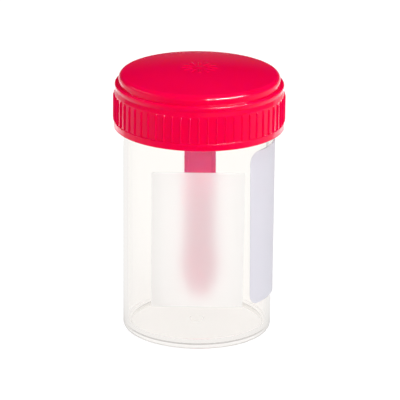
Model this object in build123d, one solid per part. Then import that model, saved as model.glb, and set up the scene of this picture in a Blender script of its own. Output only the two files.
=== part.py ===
from build123d import *
import math
import os

# Stool specimen container: a clear moulded cup with a screw cap that carries a spoon.
# Millimetres, +Z up. The origin is the middle of the foot, on the surface it stands on.
# The front, towards -Y, is the side that faces a user who reads the label on their right.

# Cup body: the radius is taken at the top of the body, which the draft opens
CUP_RADIUS = 18.85
CUP_DRAFT = 0.35
CUP_WALL = 1.2
CUP_BODY_HEIGHT = 53.6
CUP_FLOOR = 1.3
CUP_OUTER_CORNER = 1.2
CUP_INNER_CORNER = 0.8

# Foot ring that the cup stands on, and the moulding gate in the middle of the recess
FOOT_RECESS = 0.7
FOOT_RING_WIDTH = 0.6
GATE_RADIUS = 1.75
GATE_HEIGHT = 0.3

# Neck above the body, which the cap screws onto
NECK_STEP = 1.1
NECK_HEIGHT = 10.2
NECK_WALL = 1.2
NECK_SLOPE = 1.0
RIM_ROUND = 0.3

# Screw thread: one start, with the same lead and flank slope on the neck and in the cap
THREAD_LEAD = 4.0
THREAD_FLANK = 0.5
THREAD_CREST = 1.2
THREAD_GAP = 0.3
NECK_THREAD_DEPTH = 1.0
NECK_THREAD_TURNS = 1.25
NECK_THREAD_START = 3.3
CAP_THREAD_TURNS = 1.0
CAP_THREAD_GAP = 0.35
THREAD_SINK = 0.3

# Cap
CAP_SKIRT_GAP = 1.0
CAP_BORE_GAP = 0.5
CAP_WALL = 1.3
CAP_TOP_WALL = 1.5
CAP_BAND_HEIGHT = 1.8
CAP_BAND_STEP = 0.15
CAP_RIB_COUNT = 60
CAP_RIB_HEIGHT = 6.7
CAP_RIB_DEPTH = 0.95
CAP_RIB_WIDTH = 1.25
CAP_RIB_NOSE = 0.4
CAP_RIB_BEVEL = 0.6
CAP_RIB_SINK = 0.5
CAP_SHOULDER_GAP = 1.7
CAP_SHOULDER_HEIGHT = 1.35
CAP_SHOULDER_STEP = 0.45
CAP_SHOULDER_ROUND = 0.45
CAP_DISC_STEP = 0.5
CAP_DISC_HEIGHT = 1.9
CAP_DISC_ROUND = 1.0
CAP_DOME_RISE = 1.75
CAP_DOME_FLAT = 6.0
CAP_SEAT_WIDTH = 2.85

# Loose sealing ring between the rim and the cap, and the bead that keeps it in the cap
LINER_THICKNESS = 0.8
LINER_EDGE_GAP = 0.3
LINER_WIDTH = 3.3
LINER_BEAD_DEPTH = 0.5
LINER_BEAD_HEIGHT = 0.7
LINER_BEAD_GAP = 0.25

# Socket in the cap's middle, which the spoon's tang is pushed into
SOCKET_RADIUS = 5.5
SOCKET_LENGTH = 7.6
SOCKET_FLOOR = 1.1
SOCKET_GAP = 0.05

# Spoon
TANG_WIDTH = 6.0
STEM_WIDTH = 8.15
STEM_THICKNESS = 1.5
STEM_RIM_WIDTH = 0.9
STEM_RIM_HEIGHT = 0.6
BOWL_WIDTH = 9.4
BOWL_LENGTH = 19.0
BOWL_DEPTH = 2.8
BOWL_WALL = 0.9
SPOON_TIP_HEIGHT = 7.6

# Label on the wall, to the right of the front
LABEL_BOTTOM = 10.0
LABEL_HEIGHT = 40.0
LABEL_WIDTH = 20.0
LABEL_START = 43.5
LABEL_THICKNESS = 0.2
LABEL_CORNER = 2.8

# How finely the rounds are drawn: the longest flat on a moulded edge, rings on the dome, and flats
# across and along the spoon's bowl, whose ends stop at a share of the full quarter turn
EDGE_FLAT = 1.0
DOME_RINGS = 2
BOWL_FLATS = 8
BOWL_SPANS = 7
BOWL_END = 0.88

# Sizes that follow from the ones above
CUP_BASE_RADIUS = CUP_RADIUS - CUP_DRAFT
NECK_RADIUS = CUP_RADIUS - NECK_STEP
CAP_INNER_RADIUS = NECK_RADIUS + NECK_THREAD_DEPTH + CAP_BORE_GAP
CAP_OUTER_RADIUS = CAP_INNER_RADIUS + CAP_WALL
LINER_RADIUS = CAP_INNER_RADIUS - LINER_EDGE_GAP
FLOOR_TOP = FOOT_RECESS + CUP_FLOOR
RIM_Z = CUP_BODY_HEIGHT + NECK_HEIGHT
SEAT_Z = RIM_Z + LINER_THICKNESS
CAP_BOTTOM_Z = CUP_BODY_HEIGHT - CAP_SKIRT_GAP
RIB_BOTTOM_Z = CAP_BOTTOM_Z + CAP_BAND_HEIGHT
RIB_TOP_Z = RIB_BOTTOM_Z + CAP_RIB_HEIGHT
SHOULDER_Z = RIB_TOP_Z + CAP_SHOULDER_GAP
SHOULDER_TOP_Z = SHOULDER_Z + CAP_SHOULDER_HEIGHT
DISC_RADIUS = CAP_OUTER_RADIUS - CAP_DISC_STEP
DISC_EDGE_Z = SHOULDER_TOP_Z + CAP_DISC_HEIGHT
SOCKET_BOTTOM_Z = SEAT_Z - SOCKET_LENGTH
SOCKET_DEPTH = SOCKET_LENGTH - SOCKET_FLOOR
UP = (Align.CENTER, Align.CENTER, Align.MIN)


def wall_radius(z):
    """Outer radius of the cup's body at a height: the wall opens upwards by its draft."""
    return CUP_BASE_RADIUS + CUP_DRAFT * z / CUP_BODY_HEIGHT


def straight(start, end):
    """Straight edge of an outline: a steep slope is a Bezier line, so that it turns into a ruled wall."""
    steep = abs(end.Z - start.Z) > abs(end.X - start.X) > 0
    return Bezier(start, end) if steep else Line(start, end)


def turned(corners):
    """Solid of revolution from corners (radius, height, round): each round is drawn as short flats."""
    points = []
    for index, (radius, height, size) in enumerate(corners):
        here = Vector(radius, 0, height)
        if size == 0:
            points.append(here)
            continue
        before = corners[index - 1]
        after = corners[(index + 1) % len(corners)]
        into = (Vector(before[0], 0, before[1]) - here).normalized()
        out = (Vector(after[0], 0, after[1]) - here).normalized()
        half_angle = math.radians(into.get_angle(out)) / 2
        run = size / math.tan(half_angle)
        inward = size / math.sin(half_angle) - size
        arc = ThreePointArc(here + into * run, here + (into + out).normalized() * inward, here + out * run)
        flats = math.ceil(size / EDGE_FLAT)
        points.extend(arc @ (step / flats) for step in range(flats + 1))
    edges = [straight(start, end) for start, end in zip(points, points[1:] + points[:1])]
    return revolve(make_face(edges), Axis.Z, 360)


def thread_ridge(root_radius, depth, outwards, start_z, turns):
    """Helical ridge of trapezoid section, standing out of a wall or into a bore, sunk a little into it."""
    side = 1 if outwards else -1
    root_half = THREAD_CREST / 2 + THREAD_FLANK * (depth + THREAD_SINK)
    sunk_radius = root_radius - side * THREAD_SINK
    crest_radius = root_radius + side * depth
    section = make_face(
        Polyline(
            (sunk_radius, 0, start_z - root_half),
            (crest_radius, 0, start_z - THREAD_CREST / 2),
            (crest_radius, 0, start_z + THREAD_CREST / 2),
            (sunk_radius, 0, start_z + root_half),
            close=True,
        )
    )
    path = Helix(THREAD_LEAD, THREAD_LEAD * turns, root_radius, center=(0, 0, start_z))
    return sweep(section, path=path, is_frenet=True)


def make_cup():
    """Clear cup: drafted body on a foot ring, recessed floor with a gate mark, and a threaded neck."""
    foot_outer = CUP_BASE_RADIUS - CUP_OUTER_CORNER
    foot_inner = foot_outer - FOOT_RING_WIDTH
    neck_bore = NECK_RADIUS - NECK_WALL
    body = turned([
        (0, FOOT_RECESS, 0),
        (foot_inner, FOOT_RECESS, 0),
        (foot_inner, 0, 0),
        (CUP_BASE_RADIUS, 0, CUP_OUTER_CORNER),
        (CUP_RADIUS, CUP_BODY_HEIGHT, 0),
        (NECK_RADIUS, CUP_BODY_HEIGHT, 0),
        (NECK_RADIUS, RIM_Z, RIM_ROUND),
        (neck_bore, RIM_Z, 0),
        (neck_bore, CUP_BODY_HEIGHT, 0),
        (wall_radius(CUP_BODY_HEIGHT) - CUP_WALL, CUP_BODY_HEIGHT - NECK_SLOPE, 0),
        (wall_radius(FLOOR_TOP) - CUP_WALL, FLOOR_TOP, CUP_INNER_CORNER),
        (0, FLOOR_TOP, 0),
    ])
    gate_top = FOOT_RECESS + CUP_FLOOR / 2
    gate_bottom = FOOT_RECESS - GATE_HEIGHT
    gate = Pos(0, 0, gate_bottom) * Cylinder(GATE_RADIUS, gate_top - gate_bottom, align=UP)
    thread_z = CUP_BODY_HEIGHT + NECK_THREAD_START
    thread = thread_ridge(NECK_RADIUS, NECK_THREAD_DEPTH, True, thread_z, NECK_THREAD_TURNS)
    return body + gate + thread


def rib_set():
    """Grip ribs round the skirt: each a wedge with a flat nose, bevelled back to the skirt at its top."""
    foot_radius = CAP_OUTER_RADIUS - CAP_RIB_SINK
    rib_radius = CAP_OUTER_RADIUS + CAP_RIB_DEPTH
    half = CAP_RIB_WIDTH / 2
    nose_half = CAP_RIB_NOSE / 2
    section = make_face(
        Polyline(
            (foot_radius, -half, RIB_BOTTOM_Z),
            (rib_radius, -nose_half, RIB_BOTTOM_Z),
            (rib_radius, nose_half, RIB_BOTTOM_Z),
            (foot_radius, half, RIB_BOTTOM_Z),
            close=True,
        )
    )
    # The bevel meets the skirt at the rib's full height and ends inside the skirt
    bevel_end = RIB_TOP_Z + CAP_RIB_BEVEL * CAP_RIB_SINK / CAP_RIB_DEPTH
    wedge = extrude(section, bevel_end - RIB_BOTTOM_Z, dir=(0, 0, 1))
    side = make_face(
        Polyline(
            (foot_radius, -half, RIB_BOTTOM_Z),
            (rib_radius, -half, RIB_BOTTOM_Z),
            (rib_radius, -half, RIB_TOP_Z - CAP_RIB_BEVEL),
            (foot_radius, -half, bevel_end),
            close=True,
        )
    )
    rib = wedge & extrude(side, CAP_RIB_WIDTH, dir=(0, 1, 0))
    return [Rot(0, 0, 360 * index / CAP_RIB_COUNT) * rib for index in range(CAP_RIB_COUNT)]


def make_cap():
    """Screw cap: ribbed skirt with a plain band, shoulder bead, domed disc, thread and spoon socket."""
    band_radius = CAP_OUTER_RADIUS + CAP_BAND_STEP
    shoulder_radius = CAP_OUTER_RADIUS + CAP_SHOULDER_STEP
    seat_inner = CAP_INNER_RADIUS - CAP_SEAT_WIDTH
    bead_top = RIM_Z - LINER_BEAD_GAP
    bead_bottom = bead_top - LINER_BEAD_HEIGHT
    bead_radius = CAP_INNER_RADIUS - LINER_BEAD_DEPTH
    # The dome is part of a sphere from the disc's edge up to the flat in its middle
    drop = (DISC_RADIUS**2 - CAP_DOME_FLAT**2 - CAP_DOME_RISE**2) / (2 * CAP_DOME_RISE)
    sphere = math.hypot(DISC_RADIUS, drop)

    def dome_z(radius):
        return DISC_EDGE_Z - drop + math.sqrt(sphere**2 - radius**2)

    dome_start = DISC_RADIUS - CAP_DISC_ROUND
    narrowing = (CAP_DOME_FLAT / dome_start) ** (1 / DOME_RINGS)
    dome = []
    for ring in range(DOME_RINGS + 1):
        radius = dome_start * narrowing**ring
        dome.append((radius, dome_z(radius), 0))
    under_flat = seat_inner * narrowing
    under_z = dome_z(under_flat) - CAP_TOP_WALL
    body = turned([
        (CAP_INNER_RADIUS, CAP_BOTTOM_Z, 0),
        (band_radius, CAP_BOTTOM_Z, 0),
        (band_radius, RIB_BOTTOM_Z, 0),
        (CAP_OUTER_RADIUS, RIB_BOTTOM_Z, 0),
        (CAP_OUTER_RADIUS, SHOULDER_Z, 0),
        (shoulder_radius, SHOULDER_Z, 0),
        (shoulder_radius, SHOULDER_TOP_Z, CAP_SHOULDER_ROUND),
        (DISC_RADIUS, SHOULDER_TOP_Z, 0),
        (DISC_RADIUS, DISC_EDGE_Z, CAP_DISC_ROUND),
        *dome,
        (0, dome_z(CAP_DOME_FLAT), 0),
        (0, SOCKET_BOTTOM_Z, 0),
        (SOCKET_RADIUS, SOCKET_BOTTOM_Z, 0),
        (SOCKET_RADIUS, under_z, 0),
        (under_flat, under_z, 0),
        (seat_inner, dome_z(seat_inner) - CAP_TOP_WALL, 0),
        (seat_inner, SEAT_Z, 0),
        (CAP_INNER_RADIUS, SEAT_Z, 0),
        (CAP_INNER_RADIUS, bead_top, 0),
        (bead_radius, (bead_top + bead_bottom) / 2, 0),
        (CAP_INNER_RADIUS, bead_bottom, 0),
    ])
    slot = Pos(0, 0, SOCKET_BOTTOM_Z) * Box(
        TANG_WIDTH + 2 * SOCKET_GAP,
        STEM_THICKNESS + 2 * SOCKET_GAP,
        SOCKET_DEPTH,
        align=UP,
    )
    depth = CAP_INNER_RADIUS - NECK_RADIUS - CAP_THREAD_GAP
    # The cap's ridge hangs below the neck's by both half widths where they overlap, and the gap
    hang = THREAD_CREST + THREAD_FLANK * (NECK_THREAD_DEPTH - CAP_THREAD_GAP) + THREAD_GAP
    thread_z = CUP_BODY_HEIGHT + NECK_THREAD_START - hang
    thread = thread_ridge(CAP_INNER_RADIUS, depth, False, thread_z, CAP_THREAD_TURNS)
    return body + rib_set() + thread - slot


def make_liner():
    """Flat sealing ring that lies on the rim, under the cap's seat."""
    ring = Cylinder(LINER_RADIUS, LINER_THICKNESS, align=UP)
    hole = Cylinder(LINER_RADIUS - LINER_WIDTH, LINER_THICKNESS, align=UP)
    return Pos(0, 0, RIM_Z) * (ring - hole)


def bowl_form(wall):
    """Half-round form of the spoon's bowl inside a wall: rings of points that narrow towards both ends."""
    face_y = -STEM_THICKNESS / 2
    centre_z = SPOON_TIP_HEIGHT + BOWL_LENGTH / 2
    half_length = BOWL_LENGTH / 2 - wall
    rings = []
    for span in range(BOWL_SPANS + 1):
        along = math.pi / 2 * BOWL_END * (2 * span / BOWL_SPANS - 1)
        height = centre_z + half_length * math.sin(along) / math.sin(math.pi / 2 * BOWL_END)
        half_width = (BOWL_WIDTH / 2 - wall) * math.cos(along)
        depth = (BOWL_DEPTH - wall) * math.cos(along)
        ring = []
        for flat in range(BOWL_FLATS + 1):
            across = math.pi * flat / BOWL_FLATS
            ring.append((-half_width * math.cos(across), face_y + depth * math.sin(across), height))
        if wall > 0:
            # The hollow runs out through the open front
            ring += [(half_width, face_y - wall, height), (-half_width, face_y - wall, height)]
        rings.append(ring)
    faces = [Face(Wire.make_polygon(rings[0])), Face(Wire.make_polygon(rings[-1]))]
    for lower, upper in zip(rings, rings[1:]):
        for index in range(len(lower)):
            corners = [lower[index - 1], lower[index], upper[index], upper[index - 1]]
            faces.append(Face(Wire.make_polygon(corners)))
    return Solid(Shell(faces))


def make_spoon():
    """Spoon: tang, channelled stem with a rim down each side, and a long round bowl open to the front."""
    front_y = -STEM_THICKNESS / 2
    stem_bottom = SPOON_TIP_HEIGHT + BOWL_LENGTH * 3 / 4
    bowl = bowl_form(0)
    hollow = bowl_form(BOWL_WALL)
    stem_length = SOCKET_BOTTOM_Z - stem_bottom
    stem = Pos(0, 0, stem_bottom) * Box(STEM_WIDTH, STEM_THICKNESS, stem_length, align=UP)
    channel = Pos(0, front_y, stem_bottom) * Box(
        STEM_WIDTH - 2 * STEM_RIM_WIDTH, 2 * STEM_RIM_HEIGHT, stem_length - 2 * STEM_RIM_WIDTH, align=UP
    )
    tang = Pos(0, 0, SOCKET_BOTTOM_Z - STEM_RIM_WIDTH) * Box(
        TANG_WIDTH, STEM_THICKNESS, SOCKET_DEPTH + STEM_RIM_WIDTH, align=UP
    )
    return bowl + (stem - channel) + tang - hollow


def make_label():
    """Label: a thin sheet with rounded corners, wrapped on the drafted wall."""
    mid_z = LABEL_BOTTOM + LABEL_HEIGHT / 2
    angle = math.degrees(LABEL_WIDTH / wall_radius(mid_z))
    top = LABEL_BOTTOM + LABEL_HEIGHT
    section = make_face(
        Polyline(
            (wall_radius(LABEL_BOTTOM), 0, LABEL_BOTTOM),
            (wall_radius(LABEL_BOTTOM) + LABEL_THICKNESS, 0, LABEL_BOTTOM),
            (wall_radius(top) + LABEL_THICKNESS, 0, top),
            (wall_radius(top), 0, top),
            close=True,
        )
    )
    sheet = revolve(section, Axis.Z, angle)
    # Rounded corners are cut by a flat outline pushed through the wall at the sheet's middle
    reach = CUP_RADIUS + LABEL_THICKNESS
    cutter = Rot(0, 0, angle / 2) * label_cutter(angle, mid_z, reach)
    return Rot(0, 0, LABEL_START - 90) * (sheet & cutter)


def label_cutter(angle, mid_z, reach):
    """Block whose outline, seen square on, is the label's with round corners on the wrapped sheet."""
    half_chord = reach * math.sin(math.radians(angle / 2))
    corner_angle = math.degrees(LABEL_CORNER / reach)
    inner_chord = reach * math.sin(math.radians(angle / 2 - corner_angle))
    half_height = LABEL_HEIGHT / 2
    flat = half_height - LABEL_CORNER
    weight = math.sqrt(0.5)
    corners = []
    for side_y, side_z in ((1, 1), (-1, 1), (-1, -1), (1, -1)):
        near = (0, side_y * half_chord, mid_z + side_z * flat)
        far = (0, side_y * inner_chord, mid_z + side_z * half_height)
        bend = (
            0,
            side_y * (inner_chord + (half_chord - inner_chord) * weight),
            mid_z + side_z * (flat + LABEL_CORNER * weight),
        )
        corners.append((near, bend, far) if side_y * side_z > 0 else (far, bend, near))
    edges = []
    for index, (start, bend, end) in enumerate(corners):
        edges.append(ThreePointArc(start, bend, end))
        edges.append(Line(end, corners[(index + 1) % 4][0]))
    return extrude(make_face(edges), 2 * reach, dir=(1, 0, 0))


os.makedirs("parts", exist_ok=True)
export_step(make_cup(), "parts/cup.step")
export_step(make_cap(), "parts/screw_cap.step")
export_step(make_liner(), "parts/cap_liner.step")
export_step(make_spoon(), "parts/spoon.step")
export_step(make_label(), "parts/label.step")
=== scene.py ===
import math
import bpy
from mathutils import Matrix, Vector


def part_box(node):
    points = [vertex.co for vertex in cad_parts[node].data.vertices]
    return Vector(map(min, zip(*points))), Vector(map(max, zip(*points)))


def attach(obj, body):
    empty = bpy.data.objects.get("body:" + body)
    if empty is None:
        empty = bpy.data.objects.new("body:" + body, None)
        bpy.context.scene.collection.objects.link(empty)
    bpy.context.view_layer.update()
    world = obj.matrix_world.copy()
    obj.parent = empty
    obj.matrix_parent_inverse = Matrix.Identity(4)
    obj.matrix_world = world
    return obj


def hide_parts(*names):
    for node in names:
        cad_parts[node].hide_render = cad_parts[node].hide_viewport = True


bl_info = {
    "name": "Specimen Container",
    "version": (1, 0, 0),
    "blender": (4, 5, 0),
    "location": "3D View > Sidebar > Container",
    "description": "Builds a clear specimen cup with a ribbed screw cap, spoon and label, and a plain stage",
    "category": "Add Mesh",
}

from functools import reduce

import bpy
import numpy as np
from bpy.props import FloatProperty, FloatVectorProperty, IntProperty, PointerProperty
from mathutils import Matrix, Vector

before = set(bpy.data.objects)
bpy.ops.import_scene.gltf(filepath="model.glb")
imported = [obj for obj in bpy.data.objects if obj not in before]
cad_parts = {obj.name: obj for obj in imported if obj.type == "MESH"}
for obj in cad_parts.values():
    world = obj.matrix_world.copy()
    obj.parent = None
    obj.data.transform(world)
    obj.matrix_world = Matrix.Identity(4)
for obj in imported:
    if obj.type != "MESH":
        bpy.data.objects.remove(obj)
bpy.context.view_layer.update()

MM = 0.001
FULL_TURN = 2 * math.pi
SHARP_ANGLE = math.radians(48)
# Radii in metres that are closer than this belong to one wall
ALIKE = 1e-7
# Columns over half a rib: their offsets from its middle, in mm, and the share of its depth at each
RIB_PLACES = (0.0, 0.12, 0.23, 0.34)
RIB_SHARES = (1.0, 0.75, 0.0, 0.0)
LABEL_LOW, LABEL_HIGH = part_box("label")
SPOON_LOW, SPOON_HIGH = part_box("spoon")
LINER_LOW, LINER_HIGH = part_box("cap_liner")


def length(name, description, millimetres):
    """A length property, in metres, with its default given in millimetres."""
    return FloatProperty(
        name=name, description=description, default=millimetres * MM, min=0.0, precision=5, unit="LENGTH"
    )


def colour(name, description, value):
    """A colour property in linear light."""
    return FloatVectorProperty(
        name=name, description=description, default=value, size=3, min=0.0, max=1.0, subtype="COLOR"
    )


def amount(name, description, value):
    """A plain number between nothing and one."""
    return FloatProperty(
        name=name, description=description, default=value, min=0.0, max=1.0, subtype="FACTOR"
    )


def slant(name, description, degrees):
    """An angle property, in radians, with its default given in degrees."""
    return FloatProperty(name=name, description=description, default=math.radians(degrees), subtype="ANGLE")


class ThreadSizes(bpy.types.PropertyGroup):
    lead: length("Lead", "Rise of the thread in one turn", 4.0)
    crest: length("Crest", "Width of the flat on top of the ridge", 1.2)
    flank: amount("Flank", "Width of each flank as a share of the ridge's depth", 0.5)
    neck_depth: length("Neck depth", "How far the ridge stands out of the neck", 1.0)
    neck_turns: FloatProperty(name="Neck turns", description="Turns of the neck ridge", default=1.25, min=0.0)
    neck_start: length("Neck start", "Height of the neck's ridge at its lower end", 56.9)
    cap_depth: length("Cap depth", "How far the ridge stands into the cap's bore", 1.15)
    cap_turns: FloatProperty(name="Cap turns", description="Turns of the cap ridge", default=1.0, min=0.0)
    cap_start: length("Cap start", "Height of the cap's ridge at its lower end", 55.075)


class CupSizes(bpy.types.PropertyGroup):
    radius: length("Radius", "Outer radius at the top of the body", 18.85)
    draft: length("Draft", "How much narrower the body is at its foot", 0.35)
    wall: length("Wall", "Thickness of the body's wall", 1.2)
    body_height: length("Body height", "Height of the body below the neck", 53.6)
    floor: length("Floor", "Thickness of the floor", 0.65)
    corner: length("Foot corner", "Round between the wall and the foot", 1.2)
    inner_corner: length("Inner corner", "Round between the wall and the floor inside", 0.8)
    recess: length("Recess", "Depth of the hollow under the floor", 1.35)
    foot_ring: length("Foot ring", "Width of the ring that the cup stands on", 0.6)
    gate_radius: length("Gate radius", "Radius of the moulding gate under the floor", 1.75)
    gate_height: length("Gate height", "Depth of the gate below the floor", 0.3)
    neck_radius: length("Neck radius", "Outer radius of the neck", 17.75)
    neck_height: length("Neck height", "Height of the neck above the body", 10.2)
    neck_wall: length("Neck wall", "Thickness of the neck's wall", 1.2)
    neck_slope: length("Neck slope", "Height in which the bore narrows to the neck", 1.0)
    rim_round: length("Rim round", "Round on the rim's edges", 0.35)
    window_half_angle: slant("Window half angle", "Half the width of the matt front window", 37.5)
    window_low: length("Window bottom", "Height of the matt window's lower edge", 11.6)
    window_high: length("Window top", "Height of the matt window's upper edge", 46.5)
    columns: IntProperty(name="Columns", description="Divisions round the cup", default=360, min=24)


class CapSizes(bpy.types.PropertyGroup):
    bottom: length("Bottom", "Height of the cap's lower edge", 52.6)
    bore: length("Bore", "Inner radius of the skirt", 19.25)
    radius: length("Radius", "Outer radius of the plain zone above the ribs", 20.7)
    skirt_radius: length("Skirt radius", "Outer radius of the skirt between the ribs", 21.0)
    band_step: length("Band step", "How far the plain band stands out of the skirt", 0.2)
    band_height: length("Band height", "Height of the plain band under the ribs", 1.8)
    rib_count: IntProperty(name="Ribs", description="Grip ribs round the skirt", default=60, min=8)
    rib_depth: length("Rib depth", "How far the ribs stand out of the skirt", 0.38)
    rib_top: length("Rib top", "Height of the ribs' upper ends", 61.1)
    rib_round: length("Rib round", "Height of the round at a rib's upper end", 0.6)
    shoulder_low: length("Shoulder bottom", "Where the shoulder bead meets the plain zone", 62.35)
    shoulder_high: length("Shoulder top", "Height of the shoulder bead's top", 63.85)
    shoulder_step: length("Shoulder step", "How far the bead stands out of the plain zone", 0.3)
    disc_radius: length("Disc radius", "Radius of the raised disc on top", 20.05)
    disc_edge: length("Disc edge", "Height of the disc's edge", 66.15)
    disc_round: length("Disc round", "Round on the disc's edge", 1.35)
    dome_top: length("Dome top", "Height of the dome's middle", 67.66)
    top_wall: length("Top wall", "Thickness of the cap's top", 1.5)
    seat: length("Seat", "Height of the seat that presses on the sealing ring", 64.6)
    seat_inner: length("Seat inner", "Inner radius of the seat", 16.4)
    bead_top: length("Bead top", "Upper end of the bead that keeps the sealing ring in", 63.55)
    bead_height: length("Bead height", "Height of that bead", 0.7)
    bead_depth: length("Bead depth", "How far that bead stands into the bore", 0.5)
    socket_radius: length("Socket radius", "Outer radius of the boss that holds the spoon", 5.5)
    socket_bottom: length("Socket bottom", "Height of the boss's lower end", 57.0)
    slot_top: length("Slot top", "Height of the slot's closed end", 63.5)
    slot_width: length("Slot width", "Width of the slot for the spoon's tang", 6.1)
    slot_depth: length("Slot depth", "Thickness of the slot for the spoon's tang", 1.6)
    mark_inner: length("Mark inner", "Inner radius of the ring of ticks", 1.9)
    mark_outer: length("Mark outer", "Outer radius of the ring of ticks", 4.5)
    mark_height: length("Mark height", "How far the ticks stand up", 0.14)
    mark_count: IntProperty(name="Ticks", description="Ticks round the dome's middle", default=12, min=3)


class SpoonSizes(bpy.types.PropertyGroup):
    tip: length("Tip", "Height of the bowl's lower end", SPOON_LOW[2] / MM)
    top: length("Top", "Height of the tang's upper end", SPOON_HIGH[2] / MM)
    tang_low: length("Tang bottom", "Height at which the stem narrows to the tang", 57.0)
    tang_width: length("Tang width", "Width of the tang", 6.0)
    stem_width: length("Stem width", "Width of the stem", 7.9)
    stem_thickness: length("Stem thickness", "Thickness of the stem", 1.5)
    rim_width: length("Rim width", "Width of the rim down each side of the stem", 0.9)
    rim_height: length("Rim height", "Depth of the channel between the rims", 0.35)
    bowl_width: length("Bowl width", "Width of the bowl", 9.2)
    bowl_length: length("Bowl length", "Length of the bowl", 19.0)
    bowl_depth: length("Bowl depth", "Depth of the bowl from its rim to its back", 2.7)
    bowl_wall: length("Bowl wall", "Thickness of the bowl", 0.9)
    offset: length("Offset", "How far the stem stands to the right of its tang", 0.25)
    lean: slant("Lean", "Angle at which the spoon hangs in its socket", 0.55)


class LabelSizes(bpy.types.PropertyGroup):
    bottom: length("Bottom", "Height of the label's lower edge", LABEL_LOW[2] / MM)
    height: length("Height", "Height of the label", (LABEL_HIGH[2] - LABEL_LOW[2]) / MM)
    width: length("Width", "Width of the label along the wall", 20.0)
    start: slant("Start", "Angle from the front to the label's left edge", 43.5)
    corner: length("Corner", "Radius of the label's corners", 2.8)
    tilt: slant("Tilt", "Angle by which the label is stuck askew", 1.5)
    lift: length("Lift", "How far the label's lower back corner stands off the wall", 0.35)
    gap: length("Gap", "Space between the label and the wall", 0.03)
    thickness: length("Thickness", "Thickness of the label", 0.12)


class FinishColours(bpy.types.PropertyGroup):
    cap_red: colour("Cap red", "Moulded colour of the cap", (0.92, 0.0005, 0.072))
    spoon_red: colour("Spoon red", "Moulded colour of the spoon", (0.95, 0.057, 0.26))
    cup_tint: colour("Cup tint", "Tint of the clear cup at each surface", (0.988, 0.977, 0.958))
    cup_depth_tint: colour("Cup depth tint", "Colour of the cup's plastic in its depth", (0.94, 0.92, 0.9))
    label_white: colour("Label white", "Colour of the label", (0.805, 0.80, 0.865))
    liner_white: colour("Liner white", "Colour of the foamed sealing ring", (0.86, 0.85, 0.82))
    cap_gloss: amount("Cap roughness", "Roughness of the cap's moulded surface", 0.1)
    window_matt: amount("Window roughness", "Roughness of the matt front window", 0.46)
    window_haze: colour("Window haze", "Colour of the light that the window scatters", (0.98, 0.962, 0.945))
    window_cover: amount("Window cover", "Share of the light that the window scatters", 0.5)


class StageSizes(bpy.types.PropertyGroup):
    distance: length("Distance", "From the camera to the middle of the container", 868.2)
    middle: length("Middle", "Height that the camera looks at", 33.0)
    elevation: slant("Elevation", "Angle of the camera above the horizon", 18.803)
    roll: slant("Roll", "Turn of the camera about its view", 0.692)
    lens: FloatProperty(
        name="Lens", description="Focal length on a 36 mm sensor", default=312.45, subtype="DISTANCE_CAMERA"
    )
    floor_size: length("Floor size", "Side of the square floor", 6000.0)
    ambient: amount("Ambient", "Level of the even light from all round", 0.56)


def thread_relief(angle, height, start, turns, depth, thread):
    """Height of a helical ridge over a round wall, at arrays of angle and height.

    On turn k the ridge's middle is at start + lead x (angle / full turn + k). To each side the ridge
    keeps its depth over half the crest, then falls to nothing over its flank by the smooth curve. It
    fades in and out over the first and last twentieth of a turn.
    """
    flank = thread.flank * depth
    relief = np.zeros(np.broadcast(angle, height).shape)
    for lap in range(math.ceil(turns) + 1):
        along = angle / FULL_TURN + lap
        away = np.abs(height - start - thread.lead * along)
        ridge = np.clip((thread.crest / 2 + flank - away) / flank, 0, 1)
        fade = smooth(along * 20) * smooth((turns - along) * 20)
        relief = np.maximum(relief, depth * smooth(ridge) * fade)
    return relief


def smooth(value):
    """The curve 3t^2 - 2t^3 between nothing and one, flat at both ends."""
    t = np.clip(value, 0, 1)
    return t * t * (3 - 2 * t)


def outline(corners):
    """Points of an outline through corners (radius, height, round, step), as an array (points, 2).

    A round or a step that a corner leaves out is nothing.
    Each corner with a round becomes an arc tangent to both runs. A run gets a point close beside each
    of its ends, which keeps the shading of flats flat, and points no more than the corner's step apart.
    """
    corners = [(*corner, 0, 0)[:4] for corner in corners]
    spots = [np.array(corner[:2], float) for corner in corners]
    stops = [spots[0][None]]
    for before, here, after, corner in zip(spots, spots[1:], spots[2:], corners[1:]):
        size = corner[2]
        if size == 0:
            stops.append(here[None])
            continue
        into = (before - here) / np.linalg.norm(before - here)
        out = (after - here) / np.linalg.norm(after - here)
        half = math.acos(np.clip(into @ out, -1, 1)) / 2
        middle = (into + out) / np.linalg.norm(into + out)
        centre = here + middle * size / math.sin(half)
        start = here + into * size / math.tan(half) - centre
        end = here + out * size / math.tan(half) - centre
        first = math.atan2(start[1], start[0])
        sweep = (math.atan2(end[1], end[0]) - first + math.pi) % FULL_TURN - math.pi
        arc_points = min(3 + round(size / (0.25 * MM)), 8)
        turn = first + sweep * np.linspace(0, 1, arc_points)
        stops.append(centre + size * np.stack([np.cos(turn), np.sin(turn)], axis=1))
    stops.append(spots[-1][None])
    points = [stops[0]]
    beside = 0.06 * MM
    for last, following, corner in zip(stops, stops[1:], corners):
        run = following[0] - last[-1]
        far = float(np.linalg.norm(run))
        places = []
        if far > 4 * beside:
            inner = math.ceil(far / corner[3]) if corner[3] else 1
            places = [beside / far, *np.linspace(0, 1, inner + 1)[1:-1], 1 - beside / far]
        points += [last[-1] + run * place for place in places]
        points.append(following)
    return np.concatenate([np.atleast_2d(point) for point in points])


def around(columns):
    """Angles of the columns of a turned surface, anticlockwise from +X."""
    return np.arange(columns) * FULL_TURN / columns


def turned_points(path, radius, angle):
    """Points (rings, columns, 3) of a turned surface: radius and the path's heights against angles."""
    height = np.broadcast_to(path[:, 1:2], radius.shape)
    return np.stack([radius * np.cos(angle), radius * np.sin(angle), height], axis=-1)


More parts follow.
